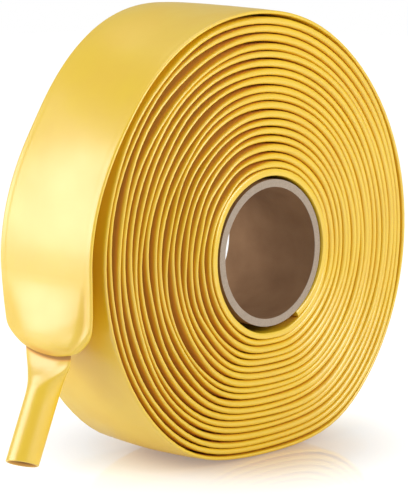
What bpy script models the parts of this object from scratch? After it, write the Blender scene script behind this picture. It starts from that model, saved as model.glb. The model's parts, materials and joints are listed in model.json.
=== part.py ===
"""Roll of lay-flat heat-shrink tubing on a cardboard core, standing on its edge.

Metres, +Z up. The roll's axis runs along Y at x = 0 and the front face looks
towards -Y. The origin is the middle of the flat patch the roll stands on, so
z = 0 is the floor. Angles are in degrees about the roll's axis, from +X
towards +Z, which is anticlockwise seen from the front.
"""
import math

import bmesh
import bpy
from mathutils import Vector

# Cardboard core
CORE_BORE = 0.0762
CORE_WALL = 0.0044
CORE_RECESS = 0.0018
CORE_SIDES = 48

# Tubing, pressed flat
FLAT_WIDTH = 0.073
FLAT_THICKNESS = 0.0033
FOLD_CHAMFER = 0.0012

# Winding
START_ANGLE = 300.0
TAIL_ANGLE = 180.0
WHOLE_TURNS = 19
STEP_ANGLE = 12.0
SLACK_MEAN = 0.00110
SLACK_LEAN = 0.00043
SLACK_LEAN_ANGLE = 142.0
SLACK_OVAL = 0.00014
SLACK_OVAL_ANGLE = 106.0
FLOOR_FLATTENING = 0.0090

# Loose outer turn, in arcs that peel off together
ARC_COUNT = 4
ARC_ANGLE = 24.0
LIFT_ANGLE = 140.0
LIFT = 0.0059

# Hanging end, with a pocket where the heat stopped
TAIL_FLAT = 0.012
POCKET_LENGTH = 0.026
POCKET_DEPTH = 0.0130
POCKET_MOUTH_WIDTH = 0.054
SECTION_SIDES = 16

# Shrunk end
NECK_WIDTH = 0.039
NECK_DEPTH = 0.0110
NECK_LENGTH = 0.020
SHRUNK_DIAMETER = 0.018
SHRUNK_WALL = 0.0024
SHRUNK_LENGTH = 0.061
SHRUNK_LEAN = 23.0
BEND_LENGTH = 0.026
BORE_END_WALL = 0.003

# Clearances
SEAT_GAP = 0.0003
ARC_GAP = 0.0005
NECK_GAP = 0.0004

CORE_RADIUS = CORE_BORE / 2 + CORE_WALL
CORE_LENGTH = FLAT_WIDTH - 2 * CORE_RECESS
FIRST_MID_RADIUS = CORE_RADIUS + SEAT_GAP + FLAT_THICKNESS / 2
ARC_STEPS = round(ARC_ANGLE / STEP_ANGLE)
TOTAL_ANGLE = (TAIL_ANGLE - START_ANGLE) % 360.0 + 360.0 * WHOLE_TURNS
TOTAL_STEPS = round(TOTAL_ANGLE / STEP_ANGLE)
FLOOR_ANGLE = 270.0


def cosd(angle):
    return math.cos(math.radians(angle))


def sind(angle):
    return math.sin(math.radians(angle))


# ---------------------------------------------------------------- winding

def pitch(angle):
    """Radial growth per turn: the tubing's thickness and the slack above it."""
    lean = SLACK_LEAN * cosd(angle - SLACK_LEAN_ANGLE)
    oval = SLACK_OVAL * cosd(2 * (angle - SLACK_OVAL_ANGLE))
    return FLAT_THICKNESS + SLACK_MEAN + lean + oval


def turns_at(step):
    return step * STEP_ANGLE / 360.0


def floor_turns():
    """Turns already wound where the outermost turn crosses the floor."""
    past_floor = (START_ANGLE + TOTAL_ANGLE - FLOOR_ANGLE) % 360.0
    return (TOTAL_ANGLE - past_floor) / 360.0


def flat_level(turns):
    """Distance from the axis down to a turn's middle where it is flattened."""
    return (FIRST_MID_RADIUS + turns * pitch(FLOOR_ANGLE)
            - FLOOR_FLATTENING * turns / floor_turns())


def lift(step):
    """How far the loose end of the outermost turn stands off the roll."""
    angle_left = (TOTAL_STEPS - step) * STEP_ANGLE
    share = 1.0 - angle_left / (TAIL_ANGLE - LIFT_ANGLE)
    share = min(max(share, 0.0), 1.0)
    return LIFT * share * share * (3.0 - 2.0 * share)


def mid_point(step):
    """Middle of the flat tubing at a step, as (x, z) from the roll's axis."""
    angle = (START_ANGLE + step * STEP_ANGLE) % 360.0
    radius = FIRST_MID_RADIUS + turns_at(step) * pitch(angle) + lift(step)
    down = -sind(angle)
    if down > 0.5:
        turns = turns_at(step) + (FLOOR_ANGLE - angle) / 360.0
        radius = min(radius, flat_level(turns) / down)
    return Vector((radius * cosd(angle), radius * sind(angle)))


CORE_HEIGHT = flat_level(floor_turns()) + FLAT_THICKNESS / 2


def strip_section():
    """Outline of the flat tubing: (across the width, through the thickness)."""
    side = FLAT_WIDTH / 2
    face = side - FOLD_CHAMFER
    half = FLAT_THICKNESS / 2
    return [(-side, 0.0), (-face, half), (face, half),
            (side, 0.0), (face, -half), (-face, -half)]


def strip_ring(step):
    """The tubing's outline at a step, mitred so that its thickness stays true."""
    here = mid_point(step)
    before = mid_point(step - 1) if step > 0 else here
    after = mid_point(step + 1) if step < TOTAL_STEPS else here
    run_in = (here - before) if step > 0 else (after - here)
    run_out = (after - here) if step < TOTAL_STEPS else run_in
    normal_in = Vector((run_in.y, -run_in.x)).normalized()
    normal_out = Vector((run_out.y, -run_out.x)).normalized()
    bisector = (normal_in + normal_out).normalized()
    mitre = bisector / bisector.dot(normal_in)
    ring = []
    for across, through in strip_section():
        point = here + mitre * through
        ring.append(Vector((point.x, across, point.y + CORE_HEIGHT)))
    return ring


def slide_ring(ring, towards, distance):
    """A ring moved along its stretch of tubing by a distance."""
    length = (towards[0] - ring[0]).length
    return [a.lerp(b, distance / length) for a, b in zip(ring, towards)]


def strip_rings(first, last, gap_before, gap_after):
    rings = [strip_ring(step) for step in range(first, last + 1)]
    start = slide_ring(rings[0], rings[1], gap_before)
    end = slide_ring(rings[-1], rings[-2], gap_after)
    return [start] + rings[1:-1] + [end]


# ---------------------------------------------------------------- free end

def smooth(share):
    share = min(max(share, 0.0), 1.0)
    return share * share * (3.0 - 2.0 * share)


def oval_ring(centre, lean, width, depth, squareness):
    """Closed outline across the hanging end; squareness 1 is a plain ellipse."""
    through = Vector((cosd(lean), 0.0, -sind(lean)))
    ring = []
    for side in range(SECTION_SIDES):
        turn = 360.0 * side / SECTION_SIDES
        c, s = cosd(turn), sind(turn)
        across = math.copysign(abs(c) ** squareness, c) * width / 2
        out = math.copysign(abs(s) ** squareness, s) * depth / 2
        ring.append(centre + Vector((0.0, across, 0.0)) + through * out)
    return ring


TAIL_X = mid_point(TOTAL_STEPS).x
TAIL_TOP = CORE_HEIGHT + mid_point(TOTAL_STEPS).y
POCKET_BOTTOM = TAIL_TOP - TAIL_FLAT - POCKET_LENGTH
NECK_HINGE = Vector((TAIL_X, 0.0, POCKET_BOTTOM - NECK_GAP - NECK_DEPTH / 2))


def pocket_rings():
    """Flat at the top, swelling to a pocket whose shoulders round in below."""
    flat_end = TAIL_TOP - TAIL_FLAT
    deepest = flat_end - POCKET_LENGTH * 0.7
    stations = [
        (TAIL_TOP - ARC_GAP, FLAT_WIDTH, FLAT_THICKNESS, 0.25),
        (flat_end, FLAT_WIDTH, FLAT_THICKNESS, 0.25),
        ((flat_end + deepest) / 2, FLAT_WIDTH, (FLAT_THICKNESS + POCKET_DEPTH) / 2, 0.5),
        (deepest, FLAT_WIDTH - FOLD_CHAMFER, POCKET_DEPTH, 0.6),
        ((deepest + POCKET_BOTTOM) / 2, (FLAT_WIDTH + POCKET_MOUTH_WIDTH) / 2, POCKET_DEPTH, 0.6),
        (POCKET_BOTTOM, POCKET_MOUTH_WIDTH, NECK_DEPTH, 0.6),
    ]
    return [oval_ring(Vector((TAIL_X, 0.0, z)), 0.0, width, depth, squareness)
            for z, width, depth, squareness in stations]


def shrunk_path(run):
    """Point and lean of the shrunk tube's middle, a run below the neck hinge."""
    pieces = 24
    x, z = NECK_HINGE.x, NECK_HINGE.z
    for piece in range(pieces):
        lean = SHRUNK_LEAN * smooth((piece + 0.5) * run / pieces / BEND_LENGTH)
        x -= sind(lean) * run / pieces
        z -= cosd(lean) * run / pieces
    return Vector((x, 0.0, z)), SHRUNK_LEAN * smooth(run / BEND_LENGTH)


def neck_rings():
    """Rounded top that turns in the pocket, then a taper down to the round tube."""
    radius = NECK_DEPTH / 2
    rings = []
    for turn in (15.0, 40.0, 65.0):
        centre = NECK_HINGE + Vector((0.0, 0.0, radius * cosd(turn)))
        width = NECK_WIDTH - 2 * radius * (1.0 - sind(turn))
        rings.append(oval_ring(centre, 0.0, width, 2 * radius * sind(turn), 0.6))
    for share in (0.0, 0.35, 0.7, 1.0):
        centre, lean = shrunk_path(NECK_LENGTH * share)
        width = NECK_WIDTH + (SHRUNK_DIAMETER - NECK_WIDTH) * smooth(share)
        depth = NECK_DEPTH + (SHRUNK_DIAMETER - NECK_DEPTH) * share
        rings.append(oval_ring(centre, lean, width, depth, 0.6 + 0.4 * share))
    return rings


def tube_rings(diameter, runs):
    rings = []
    for run in runs:
        centre, lean = shrunk_path(run)
        rings.append(oval_ring(centre, lean, diameter, diameter, 1.0))
    return rings


def shrunk_end_rings():
    """Outside from the neck to the cut end, then back up the blind bore."""
    runs = [NECK_LENGTH + (SHRUNK_LENGTH - NECK_LENGTH) * share for share in (0.35, 1.0)]
    outside = tube_rings(SHRUNK_DIAMETER, runs)
    bore_runs = [SHRUNK_LENGTH, runs[0], NECK_LENGTH + BORE_END_WALL]
    inside = tube_rings(SHRUNK_DIAMETER - 2 * SHRUNK_WALL, bore_runs)
    return neck_rings() + outside + inside


# ---------------------------------------------------------------- objects

def make_material(name, colour, roughness):
    material = bpy.data.materials.new(name)
    material.use_nodes = True
    shader = material.node_tree.nodes["Principled BSDF"]
    shader.inputs["Base Color"].default_value = (*colour, 1.0)
    shader.inputs["Roughness"].default_value = roughness
    shader.inputs["Metallic"].default_value = 0.0
    return material


def add_object(name, bm, material, origin=Vector(), parent=None):
    """Object whose origin is on its joint, from a mesh built in world space."""
    bmesh.ops.recalc_face_normals(bm, faces=bm.faces)
    bmesh.ops.translate(bm, verts=bm.verts, vec=-origin)
    mesh = bpy.data.meshes.new(name)
    bm.to_mesh(mesh)
    bm.free()
    mesh.materials.append(material)
    mesh.shade_smooth()
    mesh.set_sharp_from_angle(angle=math.radians(40.0))
    obj = bpy.data.objects.new(name, mesh)
    bpy.context.scene.collection.objects.link(obj)
    obj.location = origin
    if parent is not None:
        obj.parent = parent
        obj.location = origin - world_origin(parent)
    return obj


def world_origin(obj):
    place = Vector(obj.location)
    while obj.parent is not None:
        obj = obj.parent
        place += obj.location
    return place


def skin(rings):
    """Closed body through a row of rings, with a cap on each end."""
    bm = bmesh.new()
    loops = [[bm.verts.new(point) for point in ring] for ring in rings]
    count = len(loops[0])
    for near, far in zip(loops, loops[1:]):
        for i in range(count):
            j = (i + 1) % count
            bm.faces.new((near[i], near[j], far[j], far[i]))
    bm.faces.new(reversed(loops[0]))
    bm.faces.new(loops[-1])
    return bm


def core_mesh():
    """Cardboard tube: a rectangle turned about the roll's axis."""
    bm = bmesh.new()
    half = CORE_LENGTH / 2
    inner = CORE_BORE / 2
    corners = [(inner, -half), (CORE_RADIUS, -half), (CORE_RADIUS, half), (inner, half)]
    verts = [bm.verts.new((x, y, CORE_HEIGHT)) for x, y in corners]
    edges = [bm.edges.new((verts[i], verts[(i + 1) % 4])) for i in range(4)]
    bmesh.ops.spin(bm, geom=verts + edges, cent=(0.0, 0.0, CORE_HEIGHT), axis=(0.0, 1.0, 0.0),
                   angle=2 * math.pi, steps=CORE_SIDES, use_merge=True)
    bmesh.ops.remove_doubles(bm, verts=bm.verts, dist=0.00001)
    return bm


def hinge_point(step):
    """Middle of the tubing's outer face at a step, where the next arc turns."""
    ring = strip_ring(step)
    return (ring[1] + ring[2]) / 2


def clear_scene():
    for obj in list(bpy.data.objects):
        bpy.data.objects.remove(obj, do_unlink=True)


def main():
    clear_scene()
    card = make_material("kraft_card", (0.30, 0.19, 0.12), 0.85)
    tubing = make_material("yellow_tubing", (0.87, 0.64, 0.13), 0.42)

    add_object("core_tube", core_mesh(), card)
    first_arc = TOTAL_STEPS - ARC_COUNT * ARC_STEPS
    roll = add_object("wound_tubing", skin(strip_rings(0, first_arc, 0.0, ARC_GAP / 2)), tubing)

    parent = roll
    for arc in range(ARC_COUNT):
        start = first_arc + arc * ARC_STEPS
        rings = strip_rings(start, start + ARC_STEPS, ARC_GAP / 2, ARC_GAP / 2)
        parent = add_object(f"outer_turn_{arc + 1}", skin(rings), tubing,
                            hinge_point(start), parent)

    tail_hinge = Vector((TAIL_X - FLAT_THICKNESS / 2, 0.0, TAIL_TOP))
    pocket = add_object("hanging_pocket", skin(pocket_rings()), tubing, tail_hinge, parent)
    add_object("shrunk_end", skin(shrunk_end_rings()), tubing, NECK_HINGE, pocket)


main()
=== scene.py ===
"""Looks of the roll: flat yellow tubing wound on a cardboard core, its shrunk end hanging free."""
import json
import math

import bmesh
import bpy
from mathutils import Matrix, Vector, noise


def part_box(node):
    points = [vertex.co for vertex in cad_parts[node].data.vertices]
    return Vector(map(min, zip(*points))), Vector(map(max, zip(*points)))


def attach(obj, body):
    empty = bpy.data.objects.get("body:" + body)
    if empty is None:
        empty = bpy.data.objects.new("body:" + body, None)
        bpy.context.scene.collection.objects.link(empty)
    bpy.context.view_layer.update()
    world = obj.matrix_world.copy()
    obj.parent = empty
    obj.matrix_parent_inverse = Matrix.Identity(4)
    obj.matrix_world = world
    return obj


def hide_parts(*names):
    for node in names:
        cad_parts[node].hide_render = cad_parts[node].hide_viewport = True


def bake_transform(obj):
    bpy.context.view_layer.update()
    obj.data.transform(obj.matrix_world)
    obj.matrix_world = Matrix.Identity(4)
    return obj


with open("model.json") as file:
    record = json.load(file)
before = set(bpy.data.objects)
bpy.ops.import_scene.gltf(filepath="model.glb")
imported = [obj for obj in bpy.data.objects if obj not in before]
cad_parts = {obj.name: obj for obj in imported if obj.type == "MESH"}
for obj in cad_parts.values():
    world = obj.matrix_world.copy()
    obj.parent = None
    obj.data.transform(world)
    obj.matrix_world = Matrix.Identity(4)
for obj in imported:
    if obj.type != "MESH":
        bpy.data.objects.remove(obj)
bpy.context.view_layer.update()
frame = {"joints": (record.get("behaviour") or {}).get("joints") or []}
joints = {joint["name"]: joint for joint in frame["joints"]}
MM = 0.001

# Places and sizes taken from the frame
core_low, core_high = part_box("core_tube")
AXIS_X = (core_low[0] + core_high[0]) / 2
AXIS_Z = (core_low[2] + core_high[2]) / 2
CORE_RADIUS = (core_high[0] - core_low[0]) / 2
CORE_HALF_LENGTH = core_high[1]
HALF_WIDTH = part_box("wound_tubing")[1][1]
TAIL_HINGE = Vector(joints["tail_swing"]["pos_m"])
NECK_HINGE = Vector(joints["neck_bend"]["pos_m"])
PEEL_HINGES = [Vector(joints[f"peel_{number}"]["pos_m"]) for number in (1, 2, 3, 4)]

# Core
CORE_WALL = 4.4 * MM
CORE_STEPS = 120
PLY_PITCH = 0.11
PLY_SEAM = 0.6 * MM
LAYER_RATE = 9000.0
BORE_DARK = (0.20, 0.105, 0.050, 1.0)
BORE_LIGHT = (0.34, 0.195, 0.100, 1.0)
RIM_DARK = (0.30, 0.235, 0.175, 1.0)
RIM_LIGHT = (0.47, 0.385, 0.305, 1.0)

# Winding, as in the frame's solids
THICKNESS = 3.3 * MM
SEAT_GAP = 0.3 * MM
START_ANGLE = 300.0
TAIL_ANGLE = 180.0
FLOOR_ANGLE = 270.0
WHOLE_TURNS = 19
TURNS = WHOLE_TURNS + ((TAIL_ANGLE - START_ANGLE) % 360.0) / 360.0
FIRST_RADIUS = CORE_RADIUS + SEAT_GAP + THICKNESS / 2
SLACK_MEAN = 1.10 * MM
SLACK_LEAN = 0.43 * MM
SLACK_LEAN_ANGLE = 142.0
SLACK_OVAL = 0.14 * MM
SLACK_OVAL_ANGLE = 106.0
FLOOR_FLATTENING = 9.0 * MM
FLOOR_ROUNDING = 8.0 * MM
FLOOR_TURNS = TURNS - (TAIL_ANGLE + 360.0 - FLOOR_ANGLE) / 360.0
LIFT_ANGLE = 140.0
LIFT = 5.9 * MM
ARC_SHARE = 24.0 / 360.0
ROLL_END = TURNS - 4.5 * ARC_SHARE
# size, waves per turn and start of each wave that bunches the turns
BUNCHING = ((0.46 * MM, 0.37, 0.4), (0.27 * MM, 0.23, 2.2), (0.16 * MM, 0.61, 4.1))

# Folded edges of the flat tubing
LIP_LEFT = 1.05 * MM
LIP_FILL = 0.90
LIP_TAPER = 17.0 * MM
NOSE_LENGTH = 2.0
BROAD_NOSE = 1.1
FIRST_NOSE = 0.35
TAIL_NOSE = 1.4
CROWN = 0.9 * MM
# painted shade between the turns: it starts this far in from a fold's tip and deepens over the next
# span; then its strength in the crease under the pocket, in the grooves, and extra on the left of the
# face; and how much of it is taken off faces that the loose turns uncover
RECESS_START = 0.3 * MM
RECESS_DEPTH = 2.8 * MM
CREASE_SHADE = 0.8
GROOVE_SHADE = 0.56
LEFT_GROOVE_SHADE = 0.18
OPENED = 0.7
FOLD_DRIFT = 0.85
LIFTED_ANGLE = 114.0
BACK_LIFT = 6.2 * MM
CLEARANCE = 0.07 * MM
THICKEST = 2.8 * MM
NOSE_POINTS = 4
FLANK = (0.045, 0.09, 0.13, 0.17, 0.23, 0.36, 0.62, 1.0)
FURROW_AT = 2.6 * MM
FURROW_WIDTH = 1.3 * MM
FURROW_DEPTH = 0.3 * MM
STEPS_PER_TURN = 92
GIRTH = 0.15
PEEL_BEND = 25 * MM
TAIL_FLAT_RUN = 19.0 * MM

# Shrunk end
SHRUNK_RADIUS = 9.0 * MM
BORE_RADIUS = 6.6 * MM
MOUTH_RADIUS = 7.9 * MM
MOUTH_TILT = 1.6 * MM
SHRUNK_LENGTH = 61.0 * MM
SHRUNK_LEAN = 23.0
BEND_LENGTH = 26.0 * MM
TUBE_START = 26 * MM
POCKET_TURN_IN = 36 * MM

# Camera and floor
CAMERA_LENS = 147.7
CAMERA_FROM_AXIS = Vector((-0.8602, -0.8173, 0.1792))
CAMERA_AIM_FROM_AXIS = Vector((-0.0096, 0.0097, -0.0019))
FLOOR_DROP = 0.2 * MM
WHITE = (1.0, 1.0, 1.0, 1.0)
FLOOR_PALE = (0.62, 0.62, 0.62, 1.0)
# painted reflection: warm colour on the floor close to the roll, standing in for the yellow tubing
# reflected and bounced there
FLOOR_PAINTED_REFLECTION = (0.60, 0.40, 0.16, 1.0)


def cosd(angle):
    return math.cos(math.radians(angle))


def sind(angle):
    return math.sin(math.radians(angle))


def smooth(share):
    share = min(max(share, 0.0), 1.0)
    return share * share * (3.0 - 2.0 * share)


# ---------------------------------------------------------------- winding

def slack(angle):
    """Air between two turns, which changes round the roll."""
    lean = SLACK_LEAN * cosd(angle - SLACK_LEAN_ANGLE)
    return SLACK_MEAN + lean + SLACK_OVAL * cosd(2 * (angle - SLACK_OVAL_ANGLE))


def bunching(turns):
    """Some turns lie close together and some stand apart, more so on one side."""
    around = 0.8 * math.sin(2 * math.pi * turns + 1.3)
    drift = sum(size * math.sin(2 * math.pi * rate * turns + start + around)
                for size, rate, start in BUNCHING)
    return drift * smooth(turns / 1.6) * smooth((TURNS - 1.0 - turns) / 2.0)


def mid_radius(turns):
    """Distance of the tubing's middle from the core's axis, pressed flat over the floor."""
    angle = (START_ANGLE + 360.0 * turns) % 360.0
    free = FIRST_RADIUS + turns * (THICKNESS + slack(angle)) + bunching(turns)
    angle_left = (TURNS - turns) * 360.0
    free += LIFT * smooth(1.0 - angle_left / (TAIL_ANGLE - LIFT_ANGLE))
    down = -sind(angle)
    if down < 0.3:
        return free
    at_floor = turns + (FLOOR_ANGLE - angle) / 360.0
    depth = at_floor / FLOOR_TURNS
    level = FIRST_RADIUS + at_floor * (THICKNESS + slack(FLOOR_ANGLE)) + bunching(at_floor)
    rounding = max(FLOOR_ROUNDING * depth, 0.01 * MM)
    level -= rounding * math.log(math.expm1(FLOOR_FLATTENING / FLOOR_ROUNDING))
    return free - rounding * math.log1p(math.exp((free - level / down) / rounding))


def mid_point(turns):
    """Point on the tubing's middle line."""
    angle = START_ANGLE + 360.0 * turns
    radius = mid_radius(turns)
    return Vector((AXIS_X + radius * cosd(angle), 0.0, AXIS_Z + radius * sind(angle)))


def outward(turns):
    """Direction away from the roll, square to the strip."""
    step = 0.002
    run = mid_point(min(turns + step, TURNS)) - mid_point(max(turns - step, 0.0))
    return Vector((run.z, 0.0, -run.x)).normalized()


def wander(turns, side, rate, seed):
    """Slow, repeatable drift along the tubing, from -1 to 1."""
    angle = 2 * math.pi * turns
    spot = Vector((math.cos(angle) * rate, math.sin(angle) * rate + side * 7.3, turns * 1.7 + seed))
    return min(max(noise.noise(spot) * 2.2, -1.0), 1.0)


def room(turns):
    """Half-thicknesses that the winding leaves the tubing, outwards and inwards."""
    own = mid_radius(turns)
    free = smooth((turns - (TURNS - 1.0 - 0.06)) / 0.06)
    outer = (mid_radius(min(turns + 1, TURNS)) - own) / 2 - CLEARANCE
    outer = min(max(outer, 1.0 * MM), THICKEST) * (1.0 - free) + THICKNESS / 2 * free
    first = 1.0 - smooth((turns - 1.0) / 0.06)
    inner = (own - mid_radius(max(turns - 1, 0.0))) / 2 - CLEARANCE
    inner = min(max(inner, 1.0 * MM), THICKEST) * (1.0 - first)
    inner += (THICKNESS / 2 + SEAT_GAP - CLEARANCE) * first
    return outer, inner


# ---------------------------------------------------------------- sections

def quarter():
    """From a fold's tip to the middle of the width: (share along, nose or flank)."""
    nose = [("nose", 90.0 * k / NOSE_POINTS) for k in range(NOSE_POINTS + 1)]
    flank = [("flank", value) for value in FLANK]
    return nose + flank


QUARTER = quarter()
RING = ([(1, 1, q) for q in QUARTER] + [(-1, 1, q) for q in reversed(QUARTER[:-1])]
        + [(-1, -1, q) for q in QUARTER[1:]] + [(1, -1, q) for q in reversed(QUARTER[1:-1])])
RING_COUNT = len(RING)


def flat_section(outer, inner, lip, nose=NOSE_LENGTH, taper=LIP_TAPER, furrow=0.0):
    """Points (across, through) round the flat tubing, folds thinner than the middle."""
    points = []
    for side, face, (kind, value) in RING:
        half = outer if face > 0 else inner
        shoulder = HALF_WIDTH - nose * lip
        if kind == "nose":
            across = shoulder + nose * lip * cosd(value)
            through = lip * sind(value)
        else:
            across = shoulder * (1.0 - value)
            rise = min((shoulder - across) / taper, 1.0)
            through = lip + (half - lip) * sind(90.0 * rise)
            if face > 0:
                away_from_fold = (HALF_WIDTH - across - FURROW_AT) / FURROW_WIDTH
                through -= furrow * math.exp(-away_from_fold ** 2)
        points.append((side * across, face * through))
    return points


def round_section(half_back, half_front, half_depth, squareness):
    """Points round an oval that may be wider at the back than at the front."""
    points = []
    for index in range(RING_COUNT):
        turn = 360.0 * index / RING_COUNT
        c, s = cosd(turn), sind(turn)
        reach = half_back if c > 0 else half_front
        across = math.copysign(abs(c) ** squareness, c) * reach
        points.append((across, math.copysign(abs(s) ** squareness, s) * half_depth))
    return points


def mix_sections(first, second, share):
    """A section part of the way from one to another."""
    return [((1 - share) * a + share * c, (1 - share) * b + share * d)
            for (a, b), (c, d) in zip(first, second)]


def strip_ring(turns):
    """One ring of the wound tubing, with its folds wandering a little."""
    centre = mid_point(turns)
    away = outward(turns)
    angle = (START_ANGLE + 360.0 * turns) % 360.0
    loose = smooth((turns - (TURNS - 1.1)) / 0.3)
    settled = smooth((turns - (TURNS - 0.12)) / 0.12)
    first = 1.0 - smooth((turns - 1.0) / 0.2)
    outer, inner = room(turns)
    crown = loose * (1.0 - settled)
    leftness = smooth((-0.05 - cosd(angle + 10.0)) / 0.75)
    outer += CROWN * crown
    inner = inner * (1.0 - settled) + THICKNESS / 2 * settled
    nose = BROAD_NOSE + (NOSE_LENGTH - BROAD_NOSE) * leftness
    nose = FIRST_NOSE * first + nose * (1.0 - first)
    nose = nose * (1.0 - settled) + TAIL_NOSE * settled
    taper = LIP_TAPER + (HALF_WIDTH - LIP_TAPER) * crown
    swell = wander(turns, 0, 1.3, 11.0)
    filling = max(1.0 - leftness, first) * (1.0 - loose)
    middle = (outer - inner) / 2 * filling
    fill = (LIP_FILL + 0.07 * swell) * (1.0 - first) + 0.97 * first
    lip = (outer + inner) / 2 * fill * filling
    lip += LIP_LEFT * (1.0 + 0.2 * swell * (1.0 - loose)) * (1.0 - filling)
    lip = min(lip, outer - middle, inner + middle)
    lifted = smooth((turns - (TURNS - 0.5)) / 0.1) * smooth(1.0 - abs(angle - LIFTED_ANGLE) / 36.0)
    back_lift = BACK_LIFT * lifted
    play = FOLD_DRIFT * (0.5 + 0.5 * leftness)
    freedom = {1: outer - middle - lip, -1: inner + middle - lip}
    covered = {1: 1.0 - smooth((turns - (TURNS - 1.0)) / 0.03), -1: smooth((turns - 0.9) / 0.1)}
    covered[1] *= 1.0 - OPENED * smooth((turns - (TURNS - 1.34)) / 0.04)
    covered[-1] *= 1.0 - OPENED * smooth((turns - (TURNS - 0.34)) / 0.04)
    # painted shade: the flanks down between the turns are darkened, more on the left of the face, where
    # little light reaches them
    tint = GROOVE_SHADE + LEFT_GROOVE_SHADE * leftness
    ring = []
    for across, through in flat_section(outer, inner, lip, nose, taper, FURROW_DEPTH * loose):
        side = 1 if across > 0 else -1
        edge = smooth((abs(across) - HALF_WIDTH + 16 * MM) / (16 * MM))
        drift = wander(turns, side, 1.9, 3.0)
        shift = freedom[1 if drift > 0 else -1] * play * drift * edge * (1.0 - loose)
        shift += middle * edge
        shift += back_lift * smooth((across / HALF_WIDTH + 0.4) / 1.4)
        reach = 0.8 * MM * wander(turns, side, 1.1, 20.0) * edge * (1.0 - settled)
        point = centre + away * (through + shift)
        point.y = across + side * (reach - 0.4 * MM * (1.0 - settled))
        # painted shade fades in just inside each fold's tip, eases off towards the middle of the width,
        # and is left off faces that no turn covers
        depth = smooth((HALF_WIDTH - abs(across) - RECESS_START) / RECESS_DEPTH)
        depth *= 1.0 - 0.6 * smooth((HALF_WIDTH - abs(across) - 8 * MM) / (10 * MM))
        ring.append((point, tint * depth * covered[1 if through > 0 else -1]))
    return ring


# ---------------------------------------------------------------- free end

def keyed(table, at, upwards=False):
    """Row of a table at a place between its keys, on a curve through them."""
    table = table[::-1] if upwards else table
    places = [row[0] for row in table]
    at = min(max(at, places[0]), places[-1])
    last = len(table) - 1
    low = max(k for k in range(last) if places[k] <= at)
    share = (at - places[low]) / (places[low + 1] - places[low])
    values = []
    for column in range(1, len(table[0])):
        before, after = table[low][column], table[low + 1][column]
        span = places[low + 1] - places[low]
        enter = slope(table, low, column) * span
        leave = slope(table, low + 1, column) * span
        cube, square = share ** 3, share ** 2
        values.append((2 * cube - 3 * square + 1) * before + (cube - 2 * square + share) * enter
                      + (3 * square - 2 * cube) * after + (cube - square) * leave)
    return values


def slope(table, row, column):
    """How fast a table's column changes at one of its rows."""
    before, after = table[max(row - 1, 0)], table[min(row + 1, len(table) - 1)]
    return (after[column] - before[column]) / (after[0] - before[0])


# run below the tail hinge, back half-width, front half-width, half-depth, all mm
POCKET = (
    (-5.0, 36.5, 36.5, 1.65),
    (0.0, 36.4, 36.5, 1.65),
    (5.0, 36.1, 36.5, 1.8),
    (12.0, 35.3, 36.5, 2.9),
    (20.0, 34.2, 36.4, 4.9),
    (26.5, 32.9, 35.6, 6.5),
    (31.5, 31.4, 33.8, 7.3),
    (35.5, 29.0, 30.6, 7.1),
    (38.2, 25.4, 26.9, 6.2),
    (39.8, 21.6, 23.8, 5.2),
    (40.3, 19.0, 22.3, 4.5),
)
LIP_RUN = 40.3 * MM
# the underside of the pocket, turned in and up to where the neck begins
UNDERSIDE = (
    (40.3, 19.0, 22.3, 4.5),
    (39.9, 18.2, 21.6, 3.9),
    (38.2, 17.2, 20.6, 3.3),
    (33.4, 15.4, 19.4, 2.5),
)
UNDERSIDE_RISE = 6.9
LIP_SAG = 2.6 * MM
LIP_TILT = 2.9 * MM
POCKET_FURROW = 0.9 * MM
# run below the neck hinge, back and front half-width, half-depth, roundness
NECK = (
    (-10.4, 14.8, 18.8, 1.6, 0.85),
    (-4.0, 16.6, 19.2, 1.6, 0.85),
    (-1.0, 16.7, 19.0, 1.9, 0.85),
    (2.0, 16.3, 18.3, 2.7, 0.86),
    (5.0, 15.4, 17.0, 3.9, 0.88),
    (8.0, 14.1, 15.0, 5.3, 0.9),
    (12.0, 12.3, 12.4, 7.2, 0.95),
    (16.0, 10.7, 10.4, 8.3, 1.0),
    (20.0, 9.5, 9.3, 8.9, 1.0),
    (25.0, 9.0, 9.0, 9.0, 1.0),
)


def shrunk_path(run):
    """Point and lean of the shrunk tube's middle, a run below the neck hinge."""
    pieces = 24
    x, z = NECK_HINGE.x, NECK_HINGE.z
    for piece in range(pieces):
        lean = SHRUNK_LEAN * smooth((piece + 0.5) * run / pieces / BEND_LENGTH)
        x -= sind(lean) * run / pieces
        z -= cosd(lean) * run / pieces
    return Vector((x, 0.0, z)), SHRUNK_LEAN * smooth(run / BEND_LENGTH)


def hang(across):
    """How far the pocket's lip hangs below its front corner; it rises towards the back."""
    back = max((across + 13 * MM) / (31 * MM), 0.0)
    return LIP_SAG * (1.0 - (across / (24 * MM)) ** 2) - LIP_TILT * back ** 1.2


def place(section, centre, lean, sag=0.0, painted_shade=0.0):
    """A section set square to a path that leans outwards from straight down."""
    away = Vector((-cosd(lean), 0.0, sind(lean)))
    ring = []
    for across, through in section:
        point = centre + away * through
        point.y += across
        point.z -= sag * hang(across)
        ring.append((point, painted_shade))
    return ring


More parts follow.
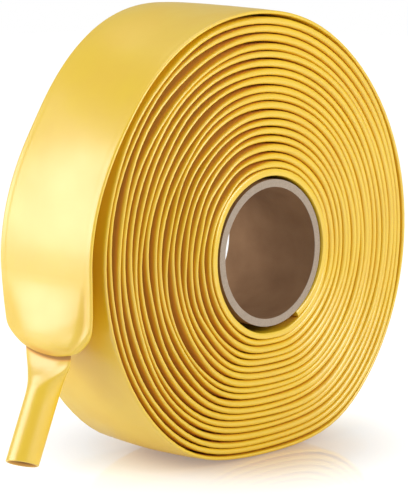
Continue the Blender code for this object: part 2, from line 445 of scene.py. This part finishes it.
def pocket_ring(run):
    """One ring of the flat tail as it opens into the pocket."""
    back, front, half = (value * MM for value in keyed(POCKET, run / MM))
    share = smooth((run / MM - 22.0) / 18.0)
    opening = smooth(run / (20 * MM))
    taper = LIP_TAPER + 8 * MM * opening
    plain = FURROW_DEPTH * (1.0 - opening)
    flat = [(across * (back if across > 0 else front) / HALF_WIDTH, through)
            for across, through in flat_section(half, half, LIP_LEFT, TAIL_NOSE, taper, plain)]
    opened = round_section(back, front, half, 0.86)
    furrowed = []
    dents = []
    for across, through in mix_sections(flat, opened, share):
        from_lip = (LIP_RUN - run) * 1.1 + 2.0 * MM
        inside = min(front + across, from_lip)
        weight = smooth(run / (9 * MM)) * smooth((-across - 4 * MM) / (16 * MM))
        dent = POCKET_FURROW * weight * math.exp(-((inside - 5.0 * MM) / (2.0 * MM)) ** 2)
        dents.append(dent if through > 0 else 0.0)
        furrowed.append((across, through - dents[-1]))
    sag = smooth((run / MM - 26.0) / 14.3)
    centre = Vector((mid_point(TURNS).x, 0.0, TAIL_HINGE.z - run))
    points = [point for point, _ in place(furrowed, centre, 0.0, sag)]
    # painted shade: a deeper, more saturated band across the middle where the pocket's bottom curves
    # under, and a little darkening along the furrow near its front fold
    painted_light = 0.5 * smooth((run / MM - 36.0) / 2.6)
    shades = [painted_light * math.exp(-((point.y + 3 * MM) / (12 * MM)) ** 2) for point in points]
    return [(point, max(shade, 0.12 * dent / POCKET_FURROW))
            for point, shade, dent in zip(points, shades, dents)]


def underside_ring(share):
    """One ring of the pocket's underside, turned in towards the neck."""
    run = LIP_RUN / MM - UNDERSIDE_RISE * share
    back, front, half = (value * MM for value in keyed(UNDERSIDE, run, True))
    section = round_section(back, front, half, 0.86)
    centre = Vector((mid_point(TURNS).x, 0.0, TAIL_HINGE.z - run * MM))
    # painted shade on the pocket's underside, darkening fast as it turns in towards the neck
    return place(section, centre, 0.0, 1.0, 0.35 + 0.65 * smooth(share * 3.0))


def neck_ring(run):
    """One ring of the crumpled neck, from inside the pocket to the round tube."""
    row = keyed(NECK, run / MM)
    back, front, half = (value * MM for value in row[:3])
    section = round_section(back, front, half, row[3])
    centre, lean = shrunk_path(max(run, 0.0))
    centre.z += max(-run, 0.0)
    crease = smooth((run + 2 * MM) / (4 * MM)) * smooth((19 * MM - run) / (9 * MM))
    creased = []
    for across, through in section:
        line = -15.5 * MM + 0.75 * run
        dent = 0.75 * MM * crease * math.exp(-((across - line) / (4.2 * MM)) ** 2)
        creased.append((across, through - dent if through > 0 else through))
    sag = 1.0 - smooth(run / (12 * MM))
    # painted shade in the crease, where the neck goes in under the pocket's lip
    shade = CREASE_SHADE * (1.0 - smooth((run + 1.5 * MM) / (1.7 * MM)))
    return place(creased, centre, lean, sag, shade)


def tube_ring(run, radius, painted_shade=0.0):
    """One ring of the shrunk tube, its cut end slightly out of square."""
    centre, lean = shrunk_path(run)
    ring = place(round_section(radius, radius, radius, 1.0), centre, lean, 0.0, painted_shade)
    along = Vector((-sind(lean), 0.0, -cosd(lean)))
    cut = MOUTH_TILT * smooth((run - 40 * MM) / (SHRUNK_LENGTH - 40 * MM))
    return [(point + along * cut * (point.y / SHRUNK_RADIUS - 0.4), shade) for point, shade in ring]


# ---------------------------------------------------------------- building

def sweep(name, rings, material, start=0.0):
    """Closed skin over a row of rings: a grid rolled up, welded and capped."""
    reached = [start]
    for before, after in zip(rings, rings[1:]):
        reached.append(reached[-1] + (after[0][0] - before[0][0]).length)
    bm = bmesh.new()
    columns = RING_COUNT + 1
    bmesh.ops.create_grid(bm, x_segments=RING_COUNT, y_segments=len(rings) - 1, size=1.0)
    # each vertex carries how strongly painted shade darkens the plastic there
    painted_shade = bm.verts.layers.float.new("painted_shade")
    bm.verts.ensure_lookup_table()
    for row, ring in enumerate(rings):
        for column in range(columns):
            vert = bm.verts[row * columns + column]
            vert.co, vert[painted_shade] = ring[column % RING_COUNT]
    layout = bm.loops.layers.uv.new("length_and_girth")
    for face in bm.faces:
        for loop in face.loops:
            row, column = divmod(loop.vert.index, columns)
            loop[layout].uv = (reached[row], GIRTH * column / RING_COUNT)
    bmesh.ops.remove_doubles(bm, verts=bm.verts, dist=0.000001)
    rims = [edge for edge in bm.edges if edge.is_boundary]
    bmesh.ops.holes_fill(bm, edges=rims, sides=0)
    bmesh.ops.recalc_face_normals(bm, faces=bm.faces)
    return finish_piece(name, bm, material), reached[-1]


def finish_piece(name, bm, material, sharp=50.0):
    mesh = bpy.data.meshes.new(name)
    bm.to_mesh(mesh)
    bm.free()
    mesh.materials.append(material)
    mesh.shade_smooth()
    mesh.set_sharp_from_angle(angle=math.radians(sharp))
    obj = bpy.data.objects.new(name, mesh)
    bpy.context.scene.collection.objects.link(obj)
    return obj


def spread(first, last, count):
    """Evenly spaced values, with a hair's breadth of extra ones at each end."""
    hair = (last - first) * 0.02 / count
    inner = [first + (last - first) * k / count for k in range(1, count)]
    return [first, first + hair] + inner + [last - hair, last]


# ---------------------------------------------------------------- materials

def new_material(name):
    material = bpy.data.materials.new(name)
    material.use_nodes = True
    return material, material.node_tree.nodes, material.node_tree.links


def unevenness_group():
    """Soft clouding and fine grain shared by the plastic and the board."""
    group = bpy.data.node_groups.new("surface_unevenness", "ShaderNodeTree")
    sockets = (("Vector", "INPUT", "NodeSocketVector"), ("Cloud Scale", "INPUT", "NodeSocketFloat"),
               ("Grain Scale", "INPUT", "NodeSocketFloat"), ("Grain Share", "INPUT", "NodeSocketFloat"),
               ("Clouds", "OUTPUT", "NodeSocketFloat"), ("Grain", "OUTPUT", "NodeSocketFloat"),
               ("Height", "OUTPUT", "NodeSocketFloat"))
    for name, way, kind in sockets:
        group.interface.new_socket(name=name, in_out=way, socket_type=kind)
    nodes, links = group.nodes, group.links
    given = nodes.new("NodeGroupInput")
    result = nodes.new("NodeGroupOutput")
    clouds = nodes.new("ShaderNodeTexNoise")
    clouds.inputs["Detail"].default_value = 3.0
    grain = nodes.new("ShaderNodeTexNoise")
    grain.inputs["Detail"].default_value = 2.0
    height = nodes.new("ShaderNodeMix")
    links.new(given.outputs["Vector"], clouds.inputs["Vector"])
    links.new(given.outputs["Vector"], grain.inputs["Vector"])
    links.new(given.outputs["Cloud Scale"], clouds.inputs["Scale"])
    links.new(given.outputs["Grain Scale"], grain.inputs["Scale"])
    links.new(given.outputs["Grain Share"], height.inputs["Factor"])
    links.new(clouds.outputs["Fac"], height.inputs["A"])
    links.new(grain.outputs["Fac"], height.inputs["B"])
    links.new(clouds.outputs["Fac"], result.inputs["Clouds"])
    links.new(grain.outputs["Fac"], result.inputs["Grain"])
    links.new(height.outputs["Result"], result.inputs["Height"])
    return group


def add_unevenness(nodes, links, group, vector, cloud_scale, grain_scale, grain_share):
    uneven = nodes.new("ShaderNodeGroup")
    uneven.node_tree = group
    uneven.inputs["Cloud Scale"].default_value = cloud_scale
    uneven.inputs["Grain Scale"].default_value = grain_scale
    uneven.inputs["Grain Share"].default_value = grain_share
    links.new(vector, uneven.inputs["Vector"])
    return uneven


def add_range(nodes, links, value, low, high, to_low, to_high):
    ranged = nodes.new("ShaderNodeMapRange")
    ranged.inputs["From Min"].default_value = low
    ranged.inputs["From Max"].default_value = high
    ranged.inputs["To Min"].default_value = to_low
    ranged.inputs["To Max"].default_value = to_high
    links.new(value, ranged.inputs["Value"])
    return ranged.outputs["Result"]


def add_math(nodes, links, operation, first, second):
    maths = nodes.new("ShaderNodeMath")
    maths.operation = operation
    for slot, value in enumerate((first, second)):
        if isinstance(value, (int, float)):
            maths.inputs[slot].default_value = value
        else:
            links.new(value, maths.inputs[slot])
    return maths.outputs["Value"]


def add_mix(nodes, links, blend_type, factor, first, second):
    mix = nodes.new("ShaderNodeMix")
    mix.data_type = "RGBA"
    mix.blend_type = blend_type
    for name, value in (("Factor", factor), ("A", first), ("B", second)):
        if isinstance(value, (int, float, tuple)):
            mix.inputs[name].default_value = value
        else:
            links.new(value, mix.inputs[name])
    return mix.outputs["Result"]


def add_bump(nodes, links, height, strength, distance):
    bump = nodes.new("ShaderNodeBump")
    bump.inputs["Strength"].default_value = strength
    bump.inputs["Distance"].default_value = distance
    links.new(height, bump.inputs["Height"])
    return bump.outputs["Normal"]


def tubing_material(group):
    """Satin plastic: deep yellow, with painted shade turning it orange and dark brown down between the
    turns, in creases and in the bore; faint lines along its length.
    """
    material, nodes, links = new_material("yellow_tubing")
    shader = nodes["Principled BSDF"]
    shader.inputs["Specular IOR Level"].default_value = 1.0
    shader.inputs["IOR"].default_value = 1.6
    shade = nodes.new("ShaderNodeAttribute")
    shade.attribute_name = "painted_shade"
    # painted shade: the ramp runs from the plastic's own yellow through orange to dark brown as the
    # painted shade rises
    ramp = nodes.new("ShaderNodeValToRGB")
    ramp.color_ramp.elements[0].color = (0.83, 0.56, 0.014, 1.0)
    ramp.color_ramp.elements[1].color = (0.16, 0.07, 0.0, 1.0)
    ramp.color_ramp.elements.new(0.3).color = (0.80, 0.46, 0.003, 1.0)
    ramp.color_ramp.elements.new(0.6).color = (0.74, 0.33, 0.003, 1.0)
    links.new(shade.outputs["Fac"], ramp.inputs["Fac"])
    place_on = nodes.new("ShaderNodeTexCoord")
    uneven = add_unevenness(nodes, links, group, place_on.outputs["Object"], 38.0, 900.0, 0.1)
    tint = add_range(nodes, links, uneven.outputs["Clouds"], 0.35, 0.65, 0.0, 0.5)
    warmer = (0.95, 0.89, 0.80, 1.0)
    colour = add_mix(nodes, links, "MULTIPLY", tint, ramp.outputs["Color"], warmer)
    links.new(colour, shader.inputs["Base Color"])
    rough = add_range(nodes, links, uneven.outputs["Clouds"], 0.3, 0.7, 0.28, 0.38)
    duller = add_math(nodes, links, "MULTIPLY", shade.outputs["Fac"], 0.55)
    links.new(add_math(nodes, links, "ADD", rough, duller), shader.inputs["Roughness"])
    along = nodes.new("ShaderNodeUVMap")
    along.uv_map = "length_and_girth"
    stretch = nodes.new("ShaderNodeMapping")
    stretch.inputs["Scale"].default_value = (0.03, 1.0, 1.0)
    links.new(along.outputs["UV"], stretch.inputs["Vector"])
    drawn = add_unevenness(nodes, links, group, stretch.outputs["Vector"], 260.0, 1500.0, 0.3)
    height = add_math(nodes, links, "MULTIPLY", drawn.outputs["Height"], 0.35)
    height = add_math(nodes, links, "ADD", height, uneven.outputs["Height"])
    links.new(add_bump(nodes, links, height, 0.22, 0.0002), shader.inputs["Normal"])
    return material


def card_material(group):
    """Brown board wound from strips: fibres, a spiral seam in the bore, paler layered ends."""
    material, nodes, links = new_material("core_board")
    shader = nodes["Principled BSDF"]
    shader.inputs["Specular IOR Level"].default_value = 0.25
    place_on = nodes.new("ShaderNodeTexCoord")
    centred = nodes.new("ShaderNodeVectorMath")
    centred.operation = "SUBTRACT"
    centred.inputs[1].default_value = (AXIS_X, 0.0, AXIS_Z)
    links.new(place_on.outputs["Object"], centred.inputs[0])
    split = nodes.new("ShaderNodeSeparateXYZ")
    links.new(centred.outputs["Vector"], split.inputs["Vector"])
    uneven = add_unevenness(nodes, links, group, centred.outputs["Vector"], 60.0, 1400.0, 0.45)
    far = add_math(nodes, links, "ABSOLUTE", split.outputs["Y"], 0.0)
    end_grain = add_range(nodes, links, far, CORE_HALF_LENGTH - 0.5 * MM, CORE_HALF_LENGTH - 0.1 * MM,
                          0.0, 1.0)

    turn = add_math(nodes, links, "ARCTAN2", split.outputs["Z"], split.outputs["X"])
    climb = add_math(nodes, links, "MULTIPLY", turn, PLY_PITCH / (2 * math.pi))
    climb = add_math(nodes, links, "ADD", climb, split.outputs["Y"])
    climb = add_math(nodes, links, "DIVIDE", climb, PLY_PITCH)
    climb = add_math(nodes, links, "FRACT", climb, 0.0)
    climb = add_math(nodes, links, "SUBTRACT", climb, 0.5)
    climb = add_math(nodes, links, "ABSOLUTE", climb, 0.0)
    seam = add_range(nodes, links, climb, PLY_SEAM / PLY_PITCH, 0.0, 0.0, 1.0)

    across = add_math(nodes, links, "POWER", split.outputs["X"], 2.0)
    upright = add_math(nodes, links, "POWER", split.outputs["Z"], 2.0)
    radius = add_math(nodes, links, "SQRT", add_math(nodes, links, "ADD", across, upright), 0.0)
    layers = add_math(nodes, links, "SINE", add_math(nodes, links, "MULTIPLY", radius, LAYER_RATE), 0.0)
    layers = add_range(nodes, links, layers, 0.2, 1.0, 0.0, 0.35)

    bore = add_mix(nodes, links, "MIX", uneven.outputs["Clouds"], BORE_DARK, BORE_LIGHT)
    bore = add_mix(nodes, links, "MULTIPLY", seam, bore, (0.72, 0.70, 0.66, 1.0))
    ends = add_mix(nodes, links, "MIX", uneven.outputs["Grain"], RIM_DARK, RIM_LIGHT)
    ends = add_mix(nodes, links, "MULTIPLY", layers, ends, (0.72, 0.68, 0.62, 1.0))
    links.new(add_mix(nodes, links, "MIX", end_grain, bore, ends), shader.inputs["Base Color"])
    rough = add_range(nodes, links, uneven.outputs["Grain"], 0.3, 0.7, 0.78, 0.92)
    links.new(rough, shader.inputs["Roughness"])
    height = add_math(nodes, links, "SUBTRACT", uneven.outputs["Height"],
                      add_math(nodes, links, "MULTIPLY", seam, 0.5))
    links.new(add_bump(nodes, links, height, 0.5, 0.0003), shader.inputs["Normal"])
    return material


# ---------------------------------------------------------------- pieces

def build_core(material):
    """Board tube: a grid rolled up round its wall's outline and round the axis."""
    inner = CORE_RADIUS - CORE_WALL
    half = CORE_HALF_LENGTH
    corners = [(inner, -half), (CORE_RADIUS, -half), (CORE_RADIUS, half), (inner, half)]
    bm = bmesh.new()
    bmesh.ops.create_grid(bm, x_segments=len(corners), y_segments=CORE_STEPS, size=1.0)
    for index, vert in enumerate(bm.verts):
        row, column = divmod(index, len(corners) + 1)
        radius, y = corners[column % len(corners)]
        angle = 360.0 * row / CORE_STEPS
        vert.co = (AXIS_X + radius * cosd(angle), y, AXIS_Z + radius * sind(angle))
    bmesh.ops.remove_doubles(bm, verts=bm.verts, dist=0.00001)
    bmesh.ops.recalc_face_normals(bm, faces=bm.faces)
    core = finish_piece("cardboard_core", bm, material, 30.0)
    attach(core, "roll")
    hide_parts("core_tube")


def build_tubing(material):
    """Winding, loose turns, tail and shrunk end, all along one path."""
    count = round(ROLL_END * STEPS_PER_TURN)
    rings = [strip_ring(turns) for turns in spread(0.0, ROLL_END, count)]
    roll, used = sweep("wound_roll", rings, material)
    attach(roll, "roll")
    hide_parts("wound_tubing")

    for number in range(4):
        first = ROLL_END + number * ARC_SHARE
        rings = [strip_ring(turns) for turns in spread(first, first + ARC_SHARE, 12)]
        piece, used = sweep(f"loose_turn_{number + 1}", rings, material, used)
        hinge = PEEL_HINGES[number]
        along = outward(first + ARC_SHARE / 2).cross(Vector((0.0, 1.0, 0.0)))
        reach = along * PEEL_BEND
        if (mid_point(first + ARC_SHARE) - hinge).dot(reach) < 0:
            reach = -reach
        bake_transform(piece)
        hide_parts(f"outer_turn_{number + 1}")

    tail_start = ROLL_END + 4 * ARC_SHARE
    rings = [strip_ring(turns) for turns in spread(tail_start, TURNS, 8)]
    rings += [pocket_ring(run) for run in spread(0.0, TAIL_FLAT_RUN, 12)[2:]]
    tail, used = sweep("tail_flat", rings, material, used)
    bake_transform(tail)
    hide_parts("hanging_pocket")

    rings = [pocket_ring(run) for run in spread(TAIL_FLAT_RUN, POCKET_TURN_IN, 16)]
    rings += [pocket_ring(POCKET_TURN_IN + (LIP_RUN - POCKET_TURN_IN) * sind(90.0 * k / 10))
              for k in range(1, 11)]
    rings += [underside_ring(k / 8) for k in range(1, 9)]
    rings += [neck_ring(-10.4 * MM + 35.4 * MM * k / 52) for k in range(53)]
    rings += [tube_ring(run, SHRUNK_RADIUS) for run in spread(TUBE_START, SHRUNK_LENGTH - 0.3 * MM, 24)]
    rings += [tube_ring(SHRUNK_LENGTH, SHRUNK_RADIUS - 0.3 * MM)]
    rings += [tube_ring(SHRUNK_LENGTH, MOUTH_RADIUS + 0.2 * MM)]
    # painted shade: the inner edge of the mouth is half darkened, the bore inside the tube fully
    rings += [tube_ring(SHRUNK_LENGTH - 0.3 * MM, MOUTH_RADIUS, 0.5)]
    rings += [tube_ring(SHRUNK_LENGTH - 2.5 * MM, BORE_RADIUS + 0.5 * MM, 1.0)]
    rings += [tube_ring(run, BORE_RADIUS, 1.0) for run in spread(SHRUNK_LENGTH - 5 * MM, TUBE_START, 14)]
    end = sweep("pocket_and_shrunk_end", rings, material, used)[0]
    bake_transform(end)
    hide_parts("shrunk_end")


# ---------------------------------------------------------------- stage

def build_stage():
    """Pale glossy floor with a painted warm reflection close to the roll and a painted glow, weak next
    to the roll and stronger further out, and an even white studio.
    """
    bm = bmesh.new()
    bmesh.ops.create_grid(bm, x_segments=1, y_segments=1, size=4.0)
    bmesh.ops.translate(bm, verts=bm.verts, vec=(0.0, 0.0, -FLOOR_DROP))
    material, nodes, links = new_material("floor_gloss")
    shader = nodes["Principled BSDF"]
    shader.inputs["Roughness"].default_value = 0.05
    shader.inputs["Emission Color"].default_value = WHITE
    place_on = nodes.new("ShaderNodeTexCoord")
    reach = nodes.new("ShaderNodeVectorMath")
    reach.operation = "LENGTH"
    links.new(place_on.outputs["Object"], reach.inputs[0])
    # painted light: the floor glows, weakly next to the roll and more strongly further out
    fade = nodes.new("ShaderNodeMapRange")
    fade.interpolation_type = "SMOOTHSTEP"
    fade.inputs["From Min"].default_value = 0.03
    fade.inputs["From Max"].default_value = 0.14
    fade.inputs["To Min"].default_value = 0.2
    fade.inputs["To Max"].default_value = 0.7
    links.new(reach.outputs["Value"], fade.inputs["Value"])
    # it glows less in the light it casts than where it is seen
    seen = nodes.new("ShaderNodeLightPath")
    share = add_range(nodes, links, seen.outputs["Is Camera Ray"], 0.0, 1.0, 0.62, 1.0)
    painted_light = add_math(nodes, links, "MULTIPLY", fade.outputs["Result"], share)
    links.new(painted_light, shader.inputs["Emission Strength"])
    # painted reflection: warm close to the roll, pale further out
    near = add_range(nodes, links, reach.outputs["Value"], 0.04, 0.085, 0.0, 1.0)
    links.new(add_mix(nodes, links, "MIX", near, FLOOR_PAINTED_REFLECTION, FLOOR_PALE), shader.inputs["Base Color"])
    finish_piece("floor", bm, material)

    world = bpy.data.worlds.new("studio")
    world.use_nodes = True
    nodes = world.node_tree.nodes
    links = world.node_tree.links
    room_light = nodes["Background"]
    room_light.inputs["Color"].default_value = WHITE
    room_light.inputs["Strength"].default_value = 0.19
    backdrop = nodes.new("ShaderNodeBackground")
    backdrop.inputs["Color"].default_value = WHITE
    backdrop.inputs["Strength"].default_value = 1.0
    seen = nodes.new("ShaderNodeLightPath")
    bright = nodes.new("ShaderNodeMath")
    bright.operation = "MULTIPLY_ADD"
    bright.use_clamp = True
    bright.inputs[1].default_value = 0.38
    links.new(seen.outputs["Is Glossy Ray"], bright.inputs[0])
    links.new(seen.outputs["Is Camera Ray"], bright.inputs[2])
    mix = nodes.new("ShaderNodeMixShader")
    links.new(bright.outputs["Value"], mix.inputs["Fac"])
    links.new(room_light.outputs["Background"], mix.inputs[1])
    links.new(backdrop.outputs["Background"], mix.inputs[2])
    links.new(mix.outputs["Shader"], nodes["World Output"].inputs["Surface"])
    bpy.context.scene.world = world
    bpy.context.scene.view_settings.view_transform = "Standard"


def add_area(name, place_at, aim, size, power):
    data = bpy.data.lights.new(name, "AREA")
    data.shape = "RECTANGLE"
    data.size, data.size_y = size
    data.energy = power
    lamp = bpy.data.objects.new(name, data)
    lamp.location = place_at
    lamp.visible_camera = False
    lamp.rotation_euler = (Vector(aim) - Vector(place_at)).to_track_quat("-Z", "Y").to_euler()
    bpy.context.scene.collection.objects.link(lamp)


def build_lights():
    middle = (0.0, 0.0, AXIS_Z)
    add_area("left_softbox", (-1.1, 0.78, 0.55), middle, (1.15, 1.05), 14.5)
    add_area("front_softbox", (0.2, -1.4, 0.85), middle, (1.2, 1.1), 19.0)
    add_area("top_softbox", (0.1, 0.1, 1.5), middle, (1.2, 1.2), 5.0)


def build_camera():
    data = bpy.data.cameras.new("camera")
    data.lens = CAMERA_LENS
    data.sensor_width = 36.0
    camera = bpy.data.objects.new("camera", data)
    axis = Vector((AXIS_X, 0.0, AXIS_Z))
    camera.location = axis + CAMERA_FROM_AXIS
    aim = axis + CAMERA_AIM_FROM_AXIS
    camera.rotation_euler = (aim - camera.location).to_track_quat("-Z", "Y").to_euler()
    bpy.context.scene.collection.objects.link(camera)
    bpy.context.scene.camera = camera


build_camera()
unevenness = unevenness_group()
build_core(card_material(unevenness))
build_tubing(tubing_material(unevenness))
build_stage()
build_lights()
